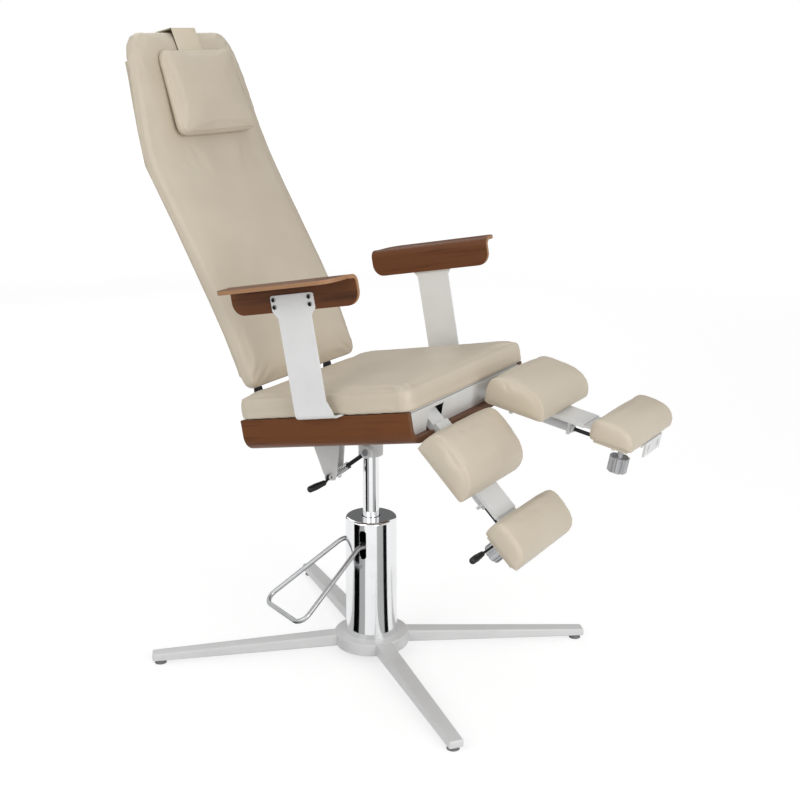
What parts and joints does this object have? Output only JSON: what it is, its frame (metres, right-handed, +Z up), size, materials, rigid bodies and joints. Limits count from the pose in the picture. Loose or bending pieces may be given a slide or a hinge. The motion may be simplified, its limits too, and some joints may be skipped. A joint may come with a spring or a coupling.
{
  "type": "podiatry chair",
  "caption": "Padded podiatry chair on a foot-pumped column: tilting swivel seat, reclining back with head pillow, armrests, and two leg rests that swing and extend.",
  "frame": {"origin": "on the floor, on the axis of the lifting column", "axes": "+X forward towards the leg rests, +Y to the sitter's left, +Z up along the column"},
  "size_m": [1.0726, 0.662, 1.3091],
  "materials": {
    "base_paint": "satin silver-white powder coat",
    "foot": "black moulded plastic on a steel stem",
    "steel": "bright zinc-plated steel",
    "dark_steel": "black coated steel",
    "chrome": "polished chrome",
    "bronze": "bearing bronze",
    "white_paint": "white powder coat",
    "grip": "black moulded grip",
    "walnut": "oiled walnut veneer on bent ply with a light edge",
    "ply": "plain birch ply",
    "upholstery": "beige artificial leather over foam",
    "strap": "beige webbing with a dark edge",
    "back_shell": "thin dark board",
    "knob": "grey fluted plastic",
    "cylinder_paint": "light grey paint",
    "slide_steel": "light grey paint"
  },
  "bodies": {
    "base": {"star_base": "base_paint", "levelling_feet": "foot", "base_bolts": "steel", "pump_cover": "chrome", "pump_cylinder": "steel", "pump_bush": "bronze", "pedal_bracket": "steel"},
    "pedal": {"pedal_shaft": "steel", "pedal_loop": "chrome"},
    "piston": {"piston_rod": "chrome", "thrust_washer": "bronze"},
    "head": {"column_head": "white_paint", "strut_pin": "steel"},
    "seat": {"seat_mount": "white_paint", "tilt_pin": "steel", "tilt_bracket": "white_paint", "bracket_pin": "steel", "seat_tray": "walnut", "seat_board": "ply", "seat_cushion": "upholstery", "front_apron": "white_paint", "leg_shaft": "steel", "shaft_bearings": "steel", "post_right": "white_paint", "post_left": "white_paint", "armrest_right": "walnut", "armrest_left": "walnut", "armrest_screws": "steel", "back_brackets": "dark_steel", "pivot_tube": "steel"},
    "strut_barrel": {"strut_barrel": "chrome"},
    "strut_rod": {"strut_rod": "dark_steel", "strut_eye": "white_paint"},
    "tilt_lever": {"tilt_lever": "dark_steel", "tilt_grip": "grip"},
    "back": {"back_arms": "dark_steel", "back_board": "back_shell", "back_cushion": "upholstery", "head_strap": "strap"},
    "pillow": {"head_pillow": "upholstery"},
    "leg_right": {"leg_arm_right": "cylinder_paint", "calf_board_right": "ply", "calf_pad_right": "upholstery", "gas_cylinder_right": "cylinder_paint"},
    "slide_right": {"slide_right": "slide_steel", "heel_board_right": "ply", "heel_pad_right": "upholstery"},
    "release_right": {"release_right": "dark_steel", "release_grip_right": "grip"},
    "knob_right": {"clamp_knob_right": "knob"},
    "leg_left": {"leg_arm_left": "cylinder_paint", "calf_board_left": "ply", "calf_pad_left": "upholstery", "gas_cylinder_left": "cylinder_paint"},
    "slide_left": {"slide_left": "slide_steel", "heel_board_left": "ply", "heel_pad_left": "upholstery"},
    "release_left": {"release_left": "dark_steel", "release_grip_left": "grip"},
    "knob_left": {"clamp_knob_left": "knob"}
  },
  "joints": [
    {"name": "pedal_press", "type": "hinge", "parent": "base", "child": "pedal", "pos_m": [-0.01479, -0.03172, 0.258], "axis": [0.9063, -0.4226, 0], "range_deg": [0, 25], "stiffness_Nm_per_rad": 3, "springref_deg": -22.92},
    {"name": "piston_lift", "type": "slide", "parent": "base", "child": "piston", "axis": [0, 0, 1], "range_m": [-0.08, 0.08]},
    {"name": "seat_swivel", "type": "hinge", "parent": "piston", "child": "head", "pos_m": [0, 0, 0.447], "axis": [0, 0, 1], "continuous": true},
    {"name": "seat_tilt", "type": "hinge", "parent": "head", "child": "seat", "pos_m": [0, 0, 0.496], "axis": [0, -1, 0], "range_deg": [-10.4, 4.6]},
    {"name": "strut_swing", "type": "hinge", "parent": "seat", "child": "strut_barrel", "pos_m": [-0.072, -0.032, 0.397], "axis": [0, -1, 0], "range_deg": [-2, 2]},
    {"name": "strut_stroke", "type": "slide", "parent": "strut_barrel", "child": "strut_rod", "axis": [0.7883, 0, 0.6153], "range_m": [-0.004, 0.008]},
    {"name": "tilt_release", "type": "hinge", "parent": "seat", "child": "tilt_lever", "pos_m": [-0.072, -0.051, 0.397], "axis": [-0.9836, 0, -0.1805], "range_deg": [0, 12], "stiffness_Nm_per_rad": 0.6, "springref_deg": -8.59},
    {"name": "back_recline", "type": "hinge", "parent": "seat", "child": "back", "pos_m": [-0.18252, 0, 0.54073], "axis": [0, -1, 0], "range_deg": [0, 65]},
    {"name": "pillow_slide", "type": "slide", "parent": "back", "child": "pillow", "axis": [-0.3527, 0, 0.9357], "range_m": [-0.04, 0.04]},
    {"name": "leg_swing_right", "type": "hinge", "parent": "seat", "child": "leg_right", "pos_m": [0.20021, -0.124, 0.59369], "axis": [0, 1, 0], "range_deg": [-49.3, 4.7]},
    {"name": "leg_extend_right", "type": "slide", "parent": "leg_right", "child": "slide_right", "axis": [0.7083, 0, -0.7059], "range_m": [0, 0.09]},
    {"name": "release_pull_right", "type": "hinge", "parent": "slide_right", "child": "release_right", "pos_m": [0.38301, -0.141, 0.37905], "axis": [-0.7083, 0, 0.7059], "range_deg": [0, 12], "stiffness_Nm_per_rad": 0.6, "springref_deg": -8.59},
    {"name": "knob_turn_right", "type": "hinge", "parent": "slide_right", "child": "knob_right", "pos_m": [0.36256, -0.124, 0.3472], "axis": [0.7059, 0, 0.7083], "range_deg": [-360, 0]},
    {"name": "leg_swing_left", "type": "hinge", "parent": "seat", "child": "leg_left", "pos_m": [0.20021, 0.124, 0.59369], "axis": [0, 1, 0], "range_deg": [-15.3, 38.7]},
    {"name": "leg_extend_left", "type": "slide", "parent": "leg_left", "child": "slide_left", "axis": [0.982, 0, -0.1891], "range_m": [-0.03, 0.06]},
    {"name": "release_pull_left", "type": "hinge", "parent": "slide_left", "child": "release_left", "pos_m": [0.50125, 0.141, 0.5123], "axis": [0.982, 0, -0.1891], "range_deg": [0, 12], "stiffness_Nm_per_rad": 0.6, "springref_deg": -8.59},
    {"name": "knob_turn_left", "type": "hinge", "parent": "slide_left", "child": "knob_left", "pos_m": [0.50211, 0.124, 0.47446], "axis": [0.1891, 0, 0.982], "range_deg": [-360, 0]}
  ],
  "couplings": [
    {"joint": "strut_swing", "follows": "seat_tilt", "ratio": 0.115},
    {"joint": "strut_stroke", "follows": "seat_tilt", "m_per_rad": -0.0345}
  ]
}
